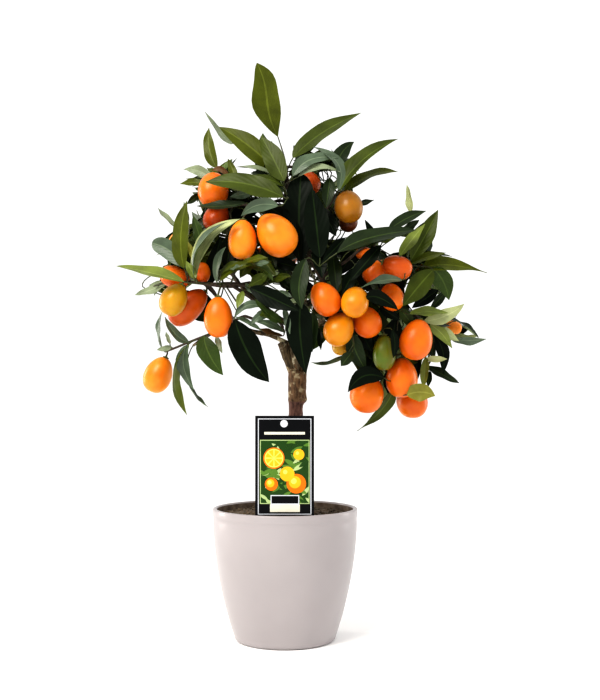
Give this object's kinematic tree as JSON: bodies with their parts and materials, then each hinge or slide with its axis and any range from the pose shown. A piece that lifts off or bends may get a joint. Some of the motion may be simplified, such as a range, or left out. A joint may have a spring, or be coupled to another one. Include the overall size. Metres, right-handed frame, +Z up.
{
  "type": "potted kumquat tree",
  "caption": "Small grafted kumquat standard with glossy leaves and orange fruit, growing in a plain tapered plastic pot with a plant label.",
  "frame": {"origin": "centre of the pot's flat underside, on the surface that it stands on", "axes": "+Z up the trunk, -Y towards the front, where the plant label stands, +X to the right as seen from the front"},
  "size_m": [0.382, 0.2975, 0.598],
  "materials": {
    "pot": "satin",
    "soil": "matte",
    "label_card": "satin",
    "label_blade": "satin",
    "bark": "matte",
    "twig": "satin",
    "foliage": "satin",
    "leaf": "satin",
    "fruit": "satin"
  },
  "bodies": {
    "root": {"pot": "pot", "soil": "soil", "label_card": "label_card", "label_blade": "label_blade", "trunk": "bark", "leader": "bark", "pruned_stub": "bark", "bough_right": "bark", "bough_left": "bark", "bough_back_left": "bark", "bough_back_right": "bark", "bough_far_right": "bark", "bough_low_right": "bark", "branchlet_low_left": "bark", "foliage_top": "foliage", "foliage_upper_left": "foliage", "foliage_upper_right": "foliage", "foliage_left": "foliage", "foliage_low_left": "foliage", "foliage_centre_left": "foliage", "foliage_low_centre": "foliage", "foliage_hanging": "foliage", "foliage_centre": "foliage", "foliage_centre_right": "foliage", "foliage_right": "foliage", "foliage_right_low": "foliage", "foliage_low_right": "foliage", "foliage_back_top": "foliage", "foliage_back_left": "foliage", "foliage_back": "foliage", "foliage_back_right": "foliage"}
  },
  "joints": []
}
